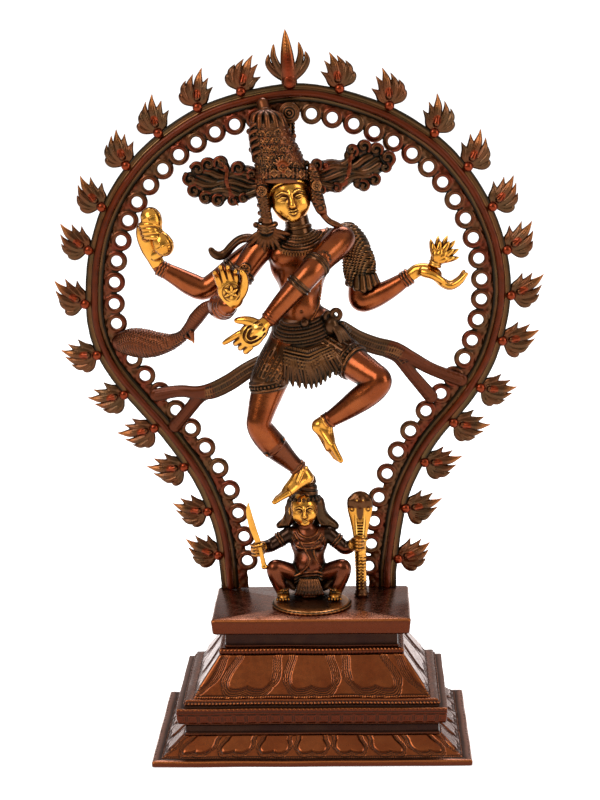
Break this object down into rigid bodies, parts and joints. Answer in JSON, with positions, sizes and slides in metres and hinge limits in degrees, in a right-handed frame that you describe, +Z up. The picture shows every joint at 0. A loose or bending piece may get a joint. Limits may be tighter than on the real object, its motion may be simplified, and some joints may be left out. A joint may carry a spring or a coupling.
{
  "type": "dancing figure statue",
  "caption": "Brass four-armed dancing figure with a raised leg on a crouching dwarf, inside a ring aureole with flames, on a stepped hollow pedestal.",
  "frame": {"origin": "bottom centre of the whole statue's box: 8.4 mm to the figure's right of the pedestal's middle, because the aureole leans", "axes": "+Z up, -Y the front of the statue, +X towards the figure's left hand side"},
  "size_m": [0.3887, 0.16, 0.5499],
  "materials": {
    "pedestal_lacquer": "red-brown lacquered patina, worn to copper on the edges",
    "aureole_lacquer": "red-brown lacquered patina with dark olive recesses",
    "figure_lacquer": "red-brown lacquered patina, satin gloss",
    "polished_gold_brass": "polished golden brass with dark lines in the recesses",
    "zinc_steel": "zinc plated fasteners"
  },
  "bodies": {
    "root": {"arm_drape": "figure_lacquer", "arm_snake": "figure_lacquer", "aureole_band": "aureole_lacquer", "aureole_flame_crest": "aureole_lacquer", "aureole_flames_left": "aureole_lacquer", "aureole_flames_right": "aureole_lacquer", "aureole_ring_chain": "aureole_lacquer", "back_left_arm": "figure_lacquer", "back_left_hand": "polished_gold_brass", "back_right_arm": "figure_lacquer", "back_right_hand": "polished_gold_brass", "collar": "figure_lacquer", "crown": "figure_lacquer", "crown_bracket": "aureole_lacquer", "drum": "polished_gold_brass", "dwarf_body": "figure_lacquer", "dwarf_hair": "figure_lacquer", "dwarf_head": "polished_gold_brass", "dwarf_sword": "polished_gold_brass", "ear_pendants": "figure_lacquer", "figure_stud": "zinc_steel", "front_left_arm": "figure_lacquer", "front_left_hand": "polished_gold_brass", "front_right_arm": "figure_lacquer", "front_right_hand": "polished_gold_brass", "hair_fan_left": "figure_lacquer", "hair_fan_right": "figure_lacquer", "head": "polished_gold_brass", "lotus_disc": "figure_lacquer", "palm_flame": "polished_gold_brass", "pedestal_cornice": "pedestal_lacquer", "pedestal_lower_neck": "pedestal_lacquer", "pedestal_lower_tier": "pedestal_lacquer", "pedestal_rope_moulding": "pedestal_lacquer", "pedestal_top_slab": "pedestal_lacquer", "pedestal_upper_neck": "pedestal_lacquer", "pedestal_upper_tier": "pedestal_lacquer", "raised_foot": "polished_gold_brass", "raised_leg": "figure_lacquer", "sash_left": "figure_lacquer", "sash_right": "figure_lacquer", "shoulder_curl": "figure_lacquer", "skirt": "figure_lacquer", "standing_cobra": "polished_gold_brass", "standing_foot": "polished_gold_brass", "standing_leg": "figure_lacquer", "stud_nut": "zinc_steel", "stud_washer": "zinc_steel", "torso": "figure_lacquer"}
  },
  "joints": []
}
